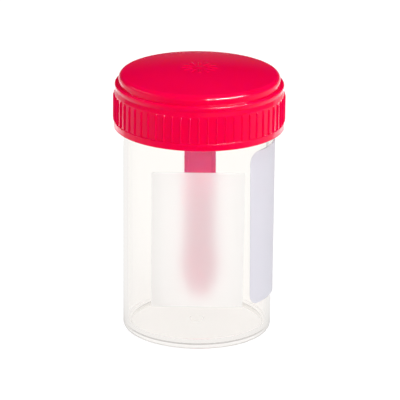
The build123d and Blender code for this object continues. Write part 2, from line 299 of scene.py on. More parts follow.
def closed_mesh(name, rings, ends=None):
    """Mesh through rings of points (rings, columns, 3), closed by fans to two end points or on itself.

    Rings follow the outline and columns run anticlockwise, seen from where the outline heads, so the
    corners ring-column, next column, next ring and back give a face that looks outwards.
    """
    count, columns = rings.shape[:2]
    column = np.arange(columns)
    after = (column + 1) % columns
    ring = np.arange(count - 1 if ends else count)[:, None]
    here, above = ring * columns, (ring + 1) % count * columns
    quads = np.stack([here + column, here + after, above + after, above + column], axis=-1)
    vertices, corners, sizes = rings.reshape(-1, 3), quads.ravel(), np.full(quads.size // 4, 4)
    if ends:
        start = count * columns
        top = start - columns
        fan_in = np.stack([np.full(columns, start), after, column], axis=-1)
        fan_out = np.stack([np.full(columns, start + 1), top + column, top + after], axis=-1)
        vertices = np.concatenate([vertices, np.array(ends, float)])
        corners = np.concatenate([corners, fan_in.ravel(), fan_out.ravel()])
        sizes = np.concatenate([sizes, np.full(2 * columns, 3)])
    mesh = bpy.data.meshes.new(name)
    mesh.vertices.add(len(vertices))
    mesh.vertices.foreach_set("co", vertices.astype(np.float32).ravel())
    mesh.loops.add(len(corners))
    mesh.loops.foreach_set("vertex_index", corners.astype(np.int32))
    mesh.polygons.add(len(sizes))
    mesh.polygons.foreach_set("loop_start", np.concatenate([[0], np.cumsum(sizes)[:-1]]).astype(np.int32))
    mesh.polygons.foreach_set("use_smooth", np.ones(len(sizes), bool))
    mesh.update(calc_edges=True)
    mesh.validate()
    mesh.set_sharp_from_angle(angle=SHARP_ANGLE)
    return mesh


def add_piece(context, mesh, material, body, node):
    """Object for a mesh that already lies in place: it rides on a body and stands for a solid."""
    piece = bpy.data.objects.new(mesh.name, mesh)
    context.scene.collection.objects.link(piece)
    mesh.materials.append(material)
    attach(piece, body)
    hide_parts(node)
    return piece


def feed(tree, socket, source):
    """Link a socket to another one, or give it a number or colour of its own."""
    if isinstance(source, bpy.types.NodeSocket):
        tree.links.new(source, socket)
    else:
        socket.default_value = source


def add_node(tree, kind, inputs=None, **settings):
    """A node with its settings and what feeds its inputs, placed to the right of what feeds it."""
    inputs = inputs or {}
    feeding = [source.node for source in inputs.values() if isinstance(source, bpy.types.NodeSocket)]
    column = 200 + max((node.location.x for node in feeding), default=-200)
    row = sum(node.location.x == column for node in tree.nodes)
    made = tree.nodes.new(kind)
    made.location = (column, -260 * row)
    for key, value in settings.items():
        setattr(made, key, value)
    for key, source in inputs.items():
        feed(tree, made.inputs[key], source)
    return made


def output(tree, kind, inputs=None, **settings):
    """The first output of a shader node that is made as add_node makes it."""
    return add_node(tree, "ShaderNode" + kind, inputs, **settings).outputs[0]


def maths(tree, operation, *terms):
    """Result of a Math node on sockets or numbers."""
    return output(tree, "Math", dict(enumerate(terms)), operation=operation)


def times(tree, *factors):
    """Product of sockets and numbers."""
    return reduce(lambda first, second: maths(tree, "MULTIPLY", first, second), factors)


def ramp(tree, value, low, high, low_out=0.0, high_out=1.0):
    """A smooth step of a value between two others, as a Map Range node's output."""
    ends = {"Value": value, "From Min": low, "From Max": high, "To Min": low_out, "To Max": high_out}
    return output(tree, "MapRange", ends, interpolation_type="SMOOTHSTEP")


def mix_values(tree, share, first, second):
    """A blend of two values by a share."""
    return output(tree, "Mix", {0: share, 2: first, 3: second}, data_type="FLOAT")


def mix_colours(tree, share, first, second):
    """A blend of two colours by a share."""
    return add_node(tree, "ShaderNodeMix", {0: share, 6: first, 7: second}, data_type="RGBA").outputs[2]


def mix_shaders(tree, share, first, second):
    """A blend of two shaders by a share."""
    return output(tree, "MixShader", {0: share, 1: first, 2: second})


def opaque(tone):
    """A colour with its alpha."""
    return (*tone, 1.0)


def with_nodes(holder):
    """A new material or world and its emptied node tree."""
    holder.use_nodes = True
    holder.node_tree.nodes.clear()
    return holder, holder.node_tree


def radial(tree, x, y):
    """Distance from the upright axis."""
    return maths(tree, "SQRT", maths(tree, "MULTIPLY_ADD", y, y, times(tree, x, x)))


def moulded_surface():
    """Group for moulded plastic: slow drift of its colour, uneven gloss and a fine grain."""
    name = "Moulded surface"
    if name in bpy.data.node_groups:
        return bpy.data.node_groups[name]
    tree = bpy.data.node_groups.new(name, "ShaderNodeTree")
    usual = {
        "Colour": opaque((0.8, 0.8, 0.8)), "Drift": 0.04, "Roughness": 0.3,
        "Unevenness": 0.1, "Grain size": 1500.0,
    }
    for label, value in usual.items():
        kind = "NodeSocketColor" if label == "Colour" else "NodeSocketFloat"
        tree.interface.new_socket(label, in_out="INPUT", socket_type=kind).default_value = value
    for label in ("Colour", "Roughness", "Height"):
        kind = "NodeSocketColor" if label == "Colour" else "NodeSocketFloat"
        tree.interface.new_socket(label, in_out="OUTPUT", socket_type=kind)
    given = add_node(tree, "NodeGroupInput").outputs
    place = add_node(tree, "ShaderNodeTexCoord").outputs["Object"]
    flow = output(tree, "TexNoise", {"Vector": place, "Scale": 70.0, "Detail": 3.0})
    grain = output(tree, "TexNoise", {"Vector": place, "Scale": given["Grain size"], "Detail": 4.0})
    centred = maths(tree, "SUBTRACT", flow, 0.5)
    level = maths(tree, "ADD", times(tree, centred, given["Drift"]), 1.0)
    tint = output(tree, "HueSaturation", {"Color": given["Colour"], "Value": level})
    gloss = maths(tree, "ADD", times(tree, centred, given["Unevenness"]), given["Roughness"])
    add_node(tree, "NodeGroupOutput", {"Colour": tint, "Roughness": gloss, "Height": grain})
    return tree


def moulded_finish(tree, tone, drift, roughness, unevenness, grain_size):
    """The shared group in a material, with the material's own values: its outputs."""
    values = {
        "Colour": opaque(tone), "Drift": drift, "Roughness": roughness,
        "Unevenness": unevenness, "Grain size": grain_size,
    }
    return add_node(tree, "ShaderNodeGroup", values, node_tree=moulded_surface()).outputs


def bumped(tree, height, distance):
    """Normal of a surface on which a height between nothing and one stands for a distance."""
    return output(tree, "Bump", {"Height": height, "Distance": distance})


def solid_shader(tree, surface, grain, specular=0.3, others=None):
    """A Principled shader on the shared group's outputs, with the grain's height as a bump."""
    values = {
        "Base Color": surface["Colour"], "Roughness": surface["Roughness"],
        "Normal": bumped(tree, surface["Height"], grain), "Specular IOR Level": specular,
    }
    return output(tree, "BsdfPrincipled", {**values, **(others or {})})


def moulded_material(name, tone, roughness, drift, grain, specular=0.3, depth=0.0):
    """Moulded plastic with the shared surface group; light spreads under its surface to a depth."""
    material, tree = with_nodes(bpy.data.materials.new(name))
    surface = moulded_finish(tree, tone, drift, roughness, unevenness=0.12, grain_size=1800.0)
    spread = {"Subsurface Weight": 1.0, "Subsurface Radius": (1.0, 0.35, 0.45), "Subsurface Scale": depth}
    shader = solid_shader(tree, surface, grain, specular, spread if depth else None)
    add_node(tree, "ShaderNodeOutputMaterial", {"Surface": shader})
    return material


# The window's upper and lower edges dip by this share of the way back, and its sides fade by this angle
# either way
WINDOW_DIP, WINDOW_FADE = 0.34, 0.005
# The painted shade line in the recess, a grey tone standing in for the shaded gap under the floor: its soft
# edge across the wall, and its start and end as shares of the recess
SHADE_LINE_EDGE, SHADE_LINE_FROM, SHADE_LINE_TO = (0.16 * MM, 0.24 * MM), (0.66, 0.74), 1.02
# Tone of that painted shade line
PAINTED_FOOT_SHADE = opaque((0.4, 0.385, 0.37))
# What the wall and the window let through of light that passes straight, and the tone of the painted glow in
# which long paths end
CLEAR_PASSES = opaque((0.975, 0.972, 0.968))
WINDOW_PASSES = opaque((0.40, 0.39, 0.38))
PAINTED_GLOW_TONE = opaque((0.97, 0.95, 0.935))


def front_window(tree, cup, x, y, z, distance):
    """Mask of the matt window on the cup's outer surface, by angle about the axis and height."""
    ahead = times(tree, y, -1.0)
    turn = maths(tree, "ABSOLUTE", maths(tree, "ARCTAN2", x, ahead))
    half = cup.window_half_angle
    sides = ramp(tree, turn, half - WINDOW_FADE, half + WINDOW_FADE, 1.0, 0.0)
    level = maths(tree, "MULTIPLY_ADD", maths(tree, "SUBTRACT", cup.radius, ahead), WINDOW_DIP, z)
    soft = 0.2 * MM
    over = ramp(tree, level, cup.window_low - soft, cup.window_low + soft)
    under = ramp(tree, level, cup.window_high - soft, cup.window_high + soft, 1.0, 0.0)
    outer = maths(tree, "GREATER_THAN", distance, cup.radius - cup.draft - cup.wall / 2)
    return times(tree, sides, over, under, outer)


def foot_shade_line(tree, cup, z, distance):
    """Mask of the painted shade line: the top of the recess's upright wall under the floor."""
    recess_wall = cup.radius - cup.draft - cup.corner - cup.foot_ring
    apart = maths(tree, "ABSOLUTE", maths(tree, "SUBTRACT", distance, recess_wall))
    near = ramp(tree, apart, *SHADE_LINE_EDGE, 1.0, 0.0)
    high = ramp(tree, z, SHADE_LINE_FROM[0] * cup.recess, SHADE_LINE_FROM[1] * cup.recess)
    below = maths(tree, "LESS_THAN", z, SHADE_LINE_TO * cup.recess)
    return times(tree, high, below, near)


def cup_material(colours, cup):
    """Clear moulded plastic, faintly warm through its depth, with a matt window on the front."""
    material, tree = with_nodes(bpy.data.materials.new("Clear cup"))
    surface = moulded_finish(tree, colours.cup_tint, 0.01, 0.03, unevenness=0.03, grain_size=2600.0)
    place = add_node(tree, "ShaderNodeTexCoord").outputs["Object"]
    x, y, z = add_node(tree, "ShaderNodeSeparateXYZ", {0: place}).outputs
    distance = radial(tree, x, y)
    mask = front_window(tree, cup, x, y, z, distance)
    grain = times(tree, maths(tree, "SUBTRACT", surface["Height"], 0.5), mask)
    # The base colour takes a painted grey shade line at the top of the recess wall, where the gap under the
    # floor lies in shadow
    glass = output(tree, "BsdfPrincipled", {
        "Base Color": mix_colours(tree, foot_shade_line(tree, cup, z, distance), surface["Colour"], PAINTED_FOOT_SHADE),
        "Roughness": mix_values(tree, mask, surface["Roughness"], colours.window_matt),
        "Normal": bumped(tree, grain, 0.004 * MM),
        "Transmission Weight": 1.0,
        "IOR": 1.5,
    })
    # The window scatters light evenly over its front, and glows with the light from behind it
    ahead = output(
        tree, "VectorTransform", {0: (0.0, -1.0, 0.0)},
        vector_type="NORMAL", convert_from="OBJECT", convert_to="WORLD",
    )
    tone = opaque(colours.window_haze)
    haze = output(tree, "BsdfDiffuse", {"Color": tone, "Normal": ahead})
    glow = output(tree, "BsdfTranslucent", {"Color": tone})
    veil = mix_shaders(tree, add_node(tree, "ShaderNodeNewGeometry").outputs["Backfacing"], haze, glow)
    scattered = mix_shaders(tree, times(tree, mask, colours.window_cover), glass, veil)
    # Light reaches what is inside the cup, and the cup's own shadow is faint
    path = add_node(tree, "ShaderNodeLightPath").outputs
    passing = mix_colours(tree, mask, CLEAR_PASSES, WINDOW_PASSES)
    clear = output(tree, "BsdfTransparent", {"Color": passing})
    body = maths(tree, "LESS_THAN", z, cup.window_high)
    soft = times(tree, path["Is Diffuse Ray"], body)
    soft = maths(tree, "MAXIMUM", path["Is Shadow Ray"], soft)
    through = mix_shaders(tree, soft, scattered, clear)
    # Reflections of what has been inside the wall end in a pale tone that the cup gives off itself: a painted
    # reflection of pale surroundings
    mirrored = maths(tree, "GREATER_THAN", path["Glossy Depth"], 0.5)
    inside = maths(tree, "GREATER_THAN", path["Transmission Depth"], 0.5)
    pale = output(tree, "Emission", {"Color": PAINTED_GLOW_TONE})
    ended = mix_shaders(tree, times(tree, mirrored, inside), through, pale)
    depth = output(tree, "VolumeAbsorption", {"Color": opaque(colours.cup_depth_tint), "Density": 60.0})
    add_node(tree, "ShaderNodeOutputMaterial", {"Surface": ended, "Volume": depth})
    return material


class SPECIMEN_OT_cup(bpy.types.Operator):
    """Turn the clear cup from its outline, with the thread as a relief on its neck"""

    bl_idname = "specimen.cup"
    bl_label = "Clear cup"

    def execute(self, context):
        cup = context.scene.specimen_cup
        thread = context.scene.specimen_thread
        base = cup.radius - cup.draft
        foot_inner = base - cup.corner - cup.foot_ring
        rim = cup.body_height + cup.neck_height
        bore = cup.neck_radius - cup.neck_wall
        floor = cup.recess + cup.floor
        gate = cup.recess - cup.gate_height
        inner_base = base + cup.draft * floor / cup.body_height - cup.wall
        path = outline([
            (0, gate, 0, 0.8 * MM),
            (cup.gate_radius, gate, 0.12 * MM),
            (cup.gate_radius, cup.recess, 0.12 * MM, 3 * MM),
            (foot_inner, cup.recess, 0.2 * MM),
            (foot_inner, 0, 0.18 * MM),
            (base, 0, cup.corner, 4 * MM),
            (cup.radius, cup.body_height, cup.rim_round),
            (cup.neck_radius, cup.body_height, cup.rim_round, 0.3 * MM),
            (cup.neck_radius, rim, cup.rim_round),
            (bore, rim, cup.rim_round, 3 * MM),
            (bore, cup.body_height, 0.8 * MM),
            (cup.radius - cup.wall, cup.body_height - cup.neck_slope, 0.8 * MM, 4 * MM),
            (inner_base, floor, cup.inner_corner, 3 * MM),
            (0, floor),
        ])
        angle = around(cup.columns)
        inner = path[1:-1]
        on_neck = np.isclose(inner[:, 0], cup.neck_radius, atol=ALIKE)[:, None]
        ridge = thread_relief(
            angle[None, :], inner[:, 1:2], thread.neck_start, thread.neck_turns, thread.neck_depth, thread
        )
        radius = inner[:, :1] + np.where(on_neck, ridge, 0)
        rings = turned_points(inner, radius, angle)
        mesh = closed_mesh("clear_cup", rings, ((0, 0, path[0, 1]), (0, 0, path[-1, 1])))
        material = cup_material(context.scene.specimen_colours, cup)
        add_piece(context, mesh, material, "cup_body", "cup")
        return {"FINISHED"}


def rib_section(offset):
    """Share of a rib's depth at an offset from its middle: full on the nose, falling away on each side."""
    return np.interp(np.abs(offset), np.array(RIB_PLACES) * MM, RIB_SHARES)


def slot_radius(angle, half_width, half_depth):
    """Distance from the axis to a slot's sides: half the width / |cos|, or half the depth / |sin| if less."""
    tiny = 1e-9
    to_end = half_width / np.maximum(np.abs(np.cos(angle)), tiny)
    to_side = half_depth / np.maximum(np.abs(np.sin(angle)), tiny)
    return np.minimum(to_end, to_side)


class SPECIMEN_OT_cap(bpy.types.Operator):
    """Turn the screw cap, with ribs, thread, seat, bead and spoon socket as reliefs on one surface"""

    bl_idname = "specimen.cap"
    bl_label = "Screw cap"

    def execute(self, context):
        cap = context.scene.specimen_cap
        thread = context.scene.specimen_thread
        colours = context.scene.specimen_colours
        rib_low = cap.bottom + cap.band_height
        band = cap.skirt_radius + cap.band_step
        shoulder = cap.radius + cap.shoulder_step
        rise = cap.dome_top - cap.disc_edge
        sphere = (cap.disc_radius**2 + rise**2) / (2 * rise)
        bead_low = cap.bead_top - cap.bead_height

        def dome(radius):
            """Height of the sphere through the disc's edge and the dome's top."""
            return cap.dome_top - sphere + np.sqrt(sphere**2 - radius**2)

        # Inside, from the foot of the boss out to the skirt's lower edge, then up the outside
        under = dome(cap.seat_inner) - cap.top_wall
        inside = outline([
            (cap.socket_radius - 0.6 * MM, cap.socket_bottom),
            (cap.socket_radius, cap.socket_bottom, 0.25 * MM),
            (cap.socket_radius, under + 0.4 * MM, 0.5 * MM, 4 * MM),
            (cap.seat_inner, under, 0.3 * MM),
            (cap.seat_inner, cap.seat, 0.15 * MM),
            (cap.bore, cap.seat, 0.2 * MM),
            (cap.bore, cap.bead_top, 0.12 * MM),
            (cap.bore - cap.bead_depth, (cap.bead_top + bead_low) / 2, 0.15 * MM),
            (cap.bore, bead_low, 0.12 * MM, 0.38 * MM),
            (cap.bore, cap.bottom, 0.25 * MM),
            (band, cap.bottom, 0.25 * MM),
            (band, rib_low, 0.17 * MM),
            (cap.skirt_radius, rib_low + 0.06 * MM),
            (cap.skirt_radius, rib_low + 0.08 * MM),
        ])
        # The ribs' run: the relief starts at once and ends in a quarter ellipse
        turn = np.radians([0, 25, 45, 60, 72, 82, 90])
        rib_heights = np.concatenate([
            [rib_low + 0.1 * MM, rib_low + 0.16 * MM, rib_low + 0.26 * MM, rib_low + 2 * MM],
            cap.rib_top - cap.rib_round + cap.rib_round * np.sin(turn),
            [cap.rib_top + 0.1 * MM],
        ])
        rib_shares = np.concatenate([[0.8, 0.94, 1.0, 1.0], np.cos(turn), [0.0]])
        rib_run = np.stack([np.full(len(rib_heights), cap.skirt_radius), rib_heights], axis=1)
        rim_end = cap.disc_radius - 2.8 * MM
        upper = outline([
            (cap.skirt_radius, cap.rib_top + 0.12 * MM),
            (cap.skirt_radius, cap.rib_top + 0.2 * MM, 0.2 * MM),
            (cap.radius, cap.shoulder_low, 0.3 * MM),
            (shoulder, cap.shoulder_low + 0.8 * MM, 0.3 * MM),
            (shoulder, cap.shoulder_high, 0.42 * MM),
            (cap.disc_radius, cap.shoulder_high, 0.05 * MM),
            (cap.disc_radius, cap.disc_edge, cap.disc_round),
            (rim_end, dome(rim_end)),
        ])
        # The dome's rows: wide apart up to the ticks, close over them, then two round the nub
        ticks = np.linspace(cap.mark_outer + 0.25 * MM, cap.mark_inner - 0.25 * MM, 14)
        plain = np.linspace(upper[-1, 0], cap.mark_outer + 0.6 * MM, 9)[1:]
        over_radius = np.concatenate([plain, ticks, [1.2 * MM, 0.5 * MM]])
        over = np.stack([over_radius, dome(over_radius)], axis=1)
        path = np.concatenate([inside, rib_run, upper, over])
        share = np.concatenate([np.zeros(len(inside)), rib_shares, np.zeros(len(upper) + len(over))])

        # Eight columns to a rib, closer on its flanks than in the valley
        pitch = FULL_TURN / cap.rib_count
        side = np.array(RIB_PLACES) * MM
        offset = np.concatenate([-side[:0:-1], side, [pitch * cap.skirt_radius / 2]])
        angle = (np.arange(cap.rib_count)[:, None] * pitch + offset / cap.skirt_radius).ravel() % FULL_TURN
        section = np.tile(rib_section(offset), cap.rib_count)
        radius = path[:, :1] + share[:, None] * cap.rib_depth * section
        row = np.arange(len(path))
        in_bore = np.isclose(path[:, 0], cap.bore, atol=ALIKE) & (path[:, 1] < bead_low) & (row < len(inside))
        ridge = thread_relief(
            angle[None, :], path[:, 1:2], thread.cap_start, thread.cap_turns, thread.cap_depth, thread
        )
        radius = radius - np.where(in_bore[:, None], ridge, 0)
        rings = turned_points(path, radius, angle)

        # Ticks round the dome's middle stand up by a smooth relief in angle and radius
        on_dome = (row >= len(inside) + len(rib_run) + len(upper))[:, None]
        flank, nose = 0.1, 0.6
        beat = smooth((np.cos(angle * cap.mark_count) - flank) / (nose - flank))
        out, slope = path[:, :1], 0.2 * MM
        reach = smooth((out - cap.mark_inner) / slope) * smooth((cap.mark_outer - out) / slope)
        nub = smooth((0.9 * MM - out) / (0.3 * MM))
        rings[:, :, 2] += np.where(on_dome, cap.mark_height * (reach * beat + nub), 0)

        # The slot for the tang, from its closed end down to the boss's foot
        sides = slot_radius(angle, cap.slot_width / 2, cap.slot_depth / 2)
        bevel = 0.05 * MM
        grow = np.array([[0.9], [1.0], [1.0], [1.03]])
        level = np.array([cap.slot_top, cap.slot_top - bevel, cap.socket_bottom + bevel, cap.socket_bottom])
        slot = turned_points(np.stack([grow[:, 0], level], axis=1), grow * sides, angle)
        rings = np.concatenate([slot, rings])
        top = (0, 0, float(dome(0.0)) + cap.mark_height)
        mesh = closed_mesh("screw_cap_shell", rings, ((0, 0, cap.slot_top), top))
        finish = {"drift": 0.05, "grain": 0.004 * MM, "specular": 0.5, "depth": 0.9 * MM}
        material = moulded_material("Cap red", colours.cap_red, colours.cap_gloss, **finish)
        add_piece(context, mesh, material, "cap_body", "screw_cap")
        return {"FINISHED"}


class SPECIMEN_OT_liner(bpy.types.Operator):
    """Turn the sealing ring: a flat foamed ring with soft edges between the rim and the cap"""

    bl_idname = "specimen.liner"
    bl_label = "Sealing ring"

    def execute(self, context):
        gap, breadth, edge, columns = 0.01 * MM, 3.3 * MM, 0.25 * MM, 240
        low, high = LINER_LOW[2] + gap, LINER_HIGH[2] - gap
        outer = LINER_HIGH[0]
        inner = outer - breadth
        # The ring has no point on the axis, so its outline closes on itself: a loop of rounded corners
        loop = outline([
            ((inner + outer) / 2, low),
            (outer, low, edge),
            (outer, high, edge),
            (inner, high, edge),
            (inner, low, edge),
            ((inner + outer) / 2, low),
        ])[:-1]
        rings = turned_points(loop, np.repeat(loop[:, :1], columns, axis=1), around(columns))
        mesh = closed_mesh("sealing_ring", rings)
        tone = context.scene.specimen_colours.liner_white
        material = moulded_material("Liner foam", tone, 0.7, drift=0.06, grain=0.03 * MM)
        add_piece(context, mesh, material, "liner_body", "cap_liner")
        return {"FINISHED"}


def spoon_section(spoon, height, across):
    """Half width, front and back of the spoon at heights, for shares across from -1 to 1.

    The stem is flat behind, with a channel between its rims in front. The bowl's back is half an
    ellipse across, and its hollow is the same ellipse less the wall. Both widths and depths of the
    bowl follow the cosine of the angle whose sine is the height's share of the bowl's half length.
    """
    half_stem = spoon.stem_width / 2
    face = -spoon.stem_thickness / 2
    middle = spoon.tip + spoon.bowl_length / 2
    share = np.clip((height - middle) / (spoon.bowl_length / 2), -1, 1)
    round_off = np.sqrt(np.maximum(1 - share**2, 0))
    joined = smooth((height - middle) / (spoon.bowl_length / 2))
    widening = smooth((height - middle - 1.5 * MM) / (3 * MM))
    half = np.maximum(spoon.bowl_width / 2 * round_off, half_stem * widening)
    half = np.where(height > middle, np.maximum(half, half_stem * joined), half)
    tang = smooth((height - spoon.tang_low + 0.01 * MM) / (0.02 * MM))
    half = half * (1 - tang) + spoon.tang_width / 2 * tang
    x = across * half
    bulge = np.sqrt(np.maximum(1 - across**2, 0))
    bowl_back = face + np.maximum(spoon.bowl_depth * round_off * bulge, 0.35 * MM)
    back = bowl_back * (1 - joined) + np.maximum(-face, bowl_back * (1 - joined)) * joined
    hollow_half = np.maximum(half - spoon.bowl_wall, 0.05 * MM)
    inner = np.sqrt(np.maximum(1 - (x / hollow_half) ** 2, 0))
    lip = 0.12
    deepest = np.maximum(spoon.bowl_depth - spoon.bowl_wall, 0)
    hollow = deepest * np.maximum(round_off - lip, 0) / (1 - lip) * inner
    channel = spoon.rim_height * smooth((half_stem - spoon.rim_width - np.abs(x)) / (0.25 * MM) + 0.5)
    channel = channel * smooth((spoon.tang_low - 1.8 * MM - height) / (0.3 * MM) + 0.5)
    front = face + hollow * (1 - joined) + np.maximum(channel, hollow * (1 - joined)) * joined * (1 - tang)
    return x, front, np.maximum(back, front + 0.3 * MM)


class SPECIMEN_OT_spoon(bpy.types.Operator):
    """Loft the spoon: bowl, channelled stem and tang as one closed surface along its length"""

    bl_idname = "specimen.spoon"
    bl_label = "Spoon"

    def execute(self, context):
        spoon = context.scene.specimen_spoon
        bowl_top = spoon.tip + spoon.bowl_length
        ease = 1 - np.cos(np.linspace(0, math.pi / 2, 16))
        # Rows: the tip, the bowl, the stem, the channel's end, the step to the tang, the tang
        height = np.concatenate([
            spoon.tip + 0.02 * MM + ease * 4 * MM,
            np.linspace(spoon.tip + 4.6 * MM, bowl_top + 1 * MM, 34),
            np.linspace(bowl_top + 3 * MM, spoon.tang_low - 2.4 * MM, 12),
            spoon.tang_low - np.array([2.1, 1.95, 1.8, 1.65, 1.5, 1.0, 0.3, 0.02, 0.0]) * MM,
            [spoon.tang_low + 0.02 * MM, spoon.tang_low + 0.3 * MM],
            np.linspace(spoon.tang_low + 1 * MM, spoon.top - 0.1 * MM, 6),
        ])[:, None]
        # Across: close to the edges and to the channel's walls the columns are closer
        share = np.concatenate([
            np.linspace(0, 0.68, 9), [0.73, 0.755, 0.78, 0.805, 0.83, 0.88, 0.93, 0.97],
        ])
        across = np.concatenate([-share[:0:-1], share])[None, :]
        x, front, back = spoon_section(spoon, height, across)
        edge = x[:, -1] / across[0, -1]
        mid = (front[:, [0, -1]] + back[:, [0, -1]]) / 2
        # The play in the socket lets the spoon lean: it moves sideways with the depth below the socket
        lean = np.maximum(spoon.tang_low + 1 * MM - height, 0) * math.tan(spoon.lean)
        lean = lean + spoon.offset * smooth((spoon.tang_low - height) / (3 * MM))
        z = np.broadcast_to(height, x.shape)
        front_face = np.stack([x, front, z], axis=-1)
        back_face = np.stack([x, back, z], axis=-1)[:, ::-1]
        right = np.stack([edge, mid[:, 1], height[:, 0]], axis=-1)[:, None]
        left = np.stack([-edge, mid[:, 0], height[:, 0]], axis=-1)[:, None]
        rings = np.concatenate([front_face, right, back_face, left], axis=1)
        rings[:, :, 0] += lean
        first = rings[0].mean(axis=0)
        last = rings[-1].mean(axis=0)
        up = np.array([0, 0, 1])
        mesh = closed_mesh("spoon_body", rings, (first - 0.02 * MM * up, last + 0.08 * MM * up))
        tone = context.scene.specimen_colours.spoon_red
        material = moulded_material("Spoon red", tone, 0.3, drift=0.06, grain=0.006 * MM, depth=0.5 * MM)
        add_piece(context, mesh, material, "cap_body", "spoon")
        return {"FINISHED"}


def label_material(tone):
    """Coated paper: faint fibres in its colour and surface, slightly uneven sheen."""
    material, tree = with_nodes(bpy.data.materials.new("Label film"))
    surface = moulded_finish(tree, tone, 0.03, 0.48, unevenness=0.1, grain_size=900.0)
    shader = solid_shader(tree, surface, 0.012 * MM)
    glow = output(tree, "BsdfTranslucent", {"Color": opaque((0.95, 0.95, 0.97))})
    add_node(tree, "ShaderNodeOutputMaterial", {"Surface": mix_shaders(tree, 0.3, shader, glow)})
    return material


class SPECIMEN_OT_label(bpy.types.Operator):
    """Wrap the label on the wall: a thin sheet with round corners that follows the cup's draft"""

    bl_idname = "specimen.label"
    bl_label = "Label"

    def execute(self, context):
        label = context.scene.specimen_label
        cup = context.scene.specimen_cup
        corner_rows, side_rows, columns = 14, 12, 61
        # Up the sheet, closer together on its round corners
        ease = 1 - np.cos(np.linspace(0, math.pi / 2, corner_rows))
        up = np.concatenate([
            label.corner * ease,
            np.linspace(label.corner, label.height - label.corner, side_rows)[1:-1],
            label.height - label.corner * ease[::-1],
        ])[:, None]
        from_end = np.minimum(np.minimum(up, label.height - up), label.corner)
        cut = label.corner - np.sqrt(np.maximum(label.corner**2 - (label.corner - from_end) ** 2, 0))
        half = label.width / 2 - cut
        share = np.linspace(-1, 1, columns)[None, :]
        height = label.bottom + up
        wall = cup.radius - cup.draft + cup.draft * height / cup.body_height
        middle = label.start - math.pi / 2 + label.width / 2 / float(wall.mean())
        angle = middle + (share * half + (label.height / 2 - up) * math.tan(label.tilt)) / wall
        off_wall = label.lift * (1 - up / label.height) * smooth((share + 1) / 2)
        level = np.broadcast_to(height, angle.shape)

        def sheet(radius):
            """Points of the sheet at a radius, from its left edge to its right."""
            return np.stack([radius * np.cos(angle), radius * np.sin(angle), level], axis=-1)

        outer = sheet(wall + label.gap + off_wall + label.thickness)
        inner = sheet(wall + label.gap + off_wall)[:, ::-1]
        rings = np.concatenate([outer, inner], axis=1)
        # The fans end halfway between the middles of the sheet's outer and inner edges
        half_way = columns // 2
        ends = [(ring[half_way] + ring[columns + half_way]) / 2 for ring in (rings[0], rings[-1])]
        mesh = closed_mesh("label_sheet", rings, ends)
        material = label_material(context.scene.specimen_colours.label_white)
        add_piece(context, mesh, material, "cup_body", "label")
        return {"FINISHED"}


# Area lights: place, width and height in metres, power in watts
LIGHTS = {
    "key_light": ((0.75, -0.9, 0.7), (0.6, 0.3), 5.5),
    "side_light": ((-1.1, -0.05, 0.45), (1.3, 0.14), 1.2),
    "front_light": ((-0.1, -1.6, 0.2), (0.9, 0.5), 3.6),
    "strip_light": ((0.86, -1.02, 0.72), (1.6, 0.16), 42.0),
}
# The floor where it is seen: its glow, and how much of the lamps' light and shadow stays in it
FLOOR_GLOW, FLOOR_SHADE, FLOOR_TONE, FLOOR_MIRRORED = 0.785, 0.3, 0.8, 0.02
# The floor in reflections: a glow that grows from the front to the back, a strip behind the container and
# a patch beside it on each side. Each pair is where a soft edge starts and ends, in metres, but for the
# glow's, which is the way back as a share of the distance.
ROUND_LEVEL, STRIP_LEVEL, PATCH_LEVEL = 0.85, 1.5, 2.0
ROUND_EDGE = (-0.95, 1.0)
STRIP_NEAR, STRIP_SIDE = (0.14, 0.16), (0.07, 0.09)
PATCH_NEAR, PATCH_INNER, PATCH_OUTER = (0.05, 0.06), (0.166, 0.172), (0.24, 0.27)
PATCH_START, PATCH_END = (0.085, 0.095), (0.155, 0.17)
# The surroundings, by the height and the side of a direction: the level that reflections see at the
# horizon, how many times the light grows overhead, and its shares from the left and from the right
HORIZON_EDGE, HORIZON_LEVEL = (0.0, 0.3), 0.12
OVERHEAD_EDGE, OVERHEAD_TIMES = (0.2, 1.0), 3.0
LEFT_SHARE, RIGHT_SHARE = 0.6, 1.2
# The frame's side in pixels, and how far the container's middle is off the frame's
FRAME, FRAME_SHIFT = 400, (1.94, 0.21)


def add_light(context, name, place, target, size, power):
    """A rectangular area light at a place, facing a target."""
    lamp = bpy.data.lights.new(name, "AREA")
    lamp.shape = "RECTANGLE"
    lamp.size, lamp.size_y = size
    lamp.energy = power
    thing = bpy.data.objects.new(name, lamp)
    context.scene.collection.objects.link(thing)
    thing.location = place
    thing.rotation_euler = (Vector(target) - Vector(place)).to_track_quat("-Z", "Y").to_euler()
    return thing


def seen_or_inside(tree, path):
    """One for camera rays, rays that shine through, and reflections that have been inside the cup.

    It is nothing once a matt surface has scattered the light.
    """
    inside = maths(tree, "GREATER_THAN", path["Transmission Depth"], 0.5)
    shone = maths(tree, "MAXIMUM", path["Is Transmission Ray"], inside)
    seen = maths(tree, "MAXIMUM", path["Is Camera Ray"], shone)
    return times(tree, seen, maths(tree, "LESS_THAN", path["Diffuse Depth"], 0.5))


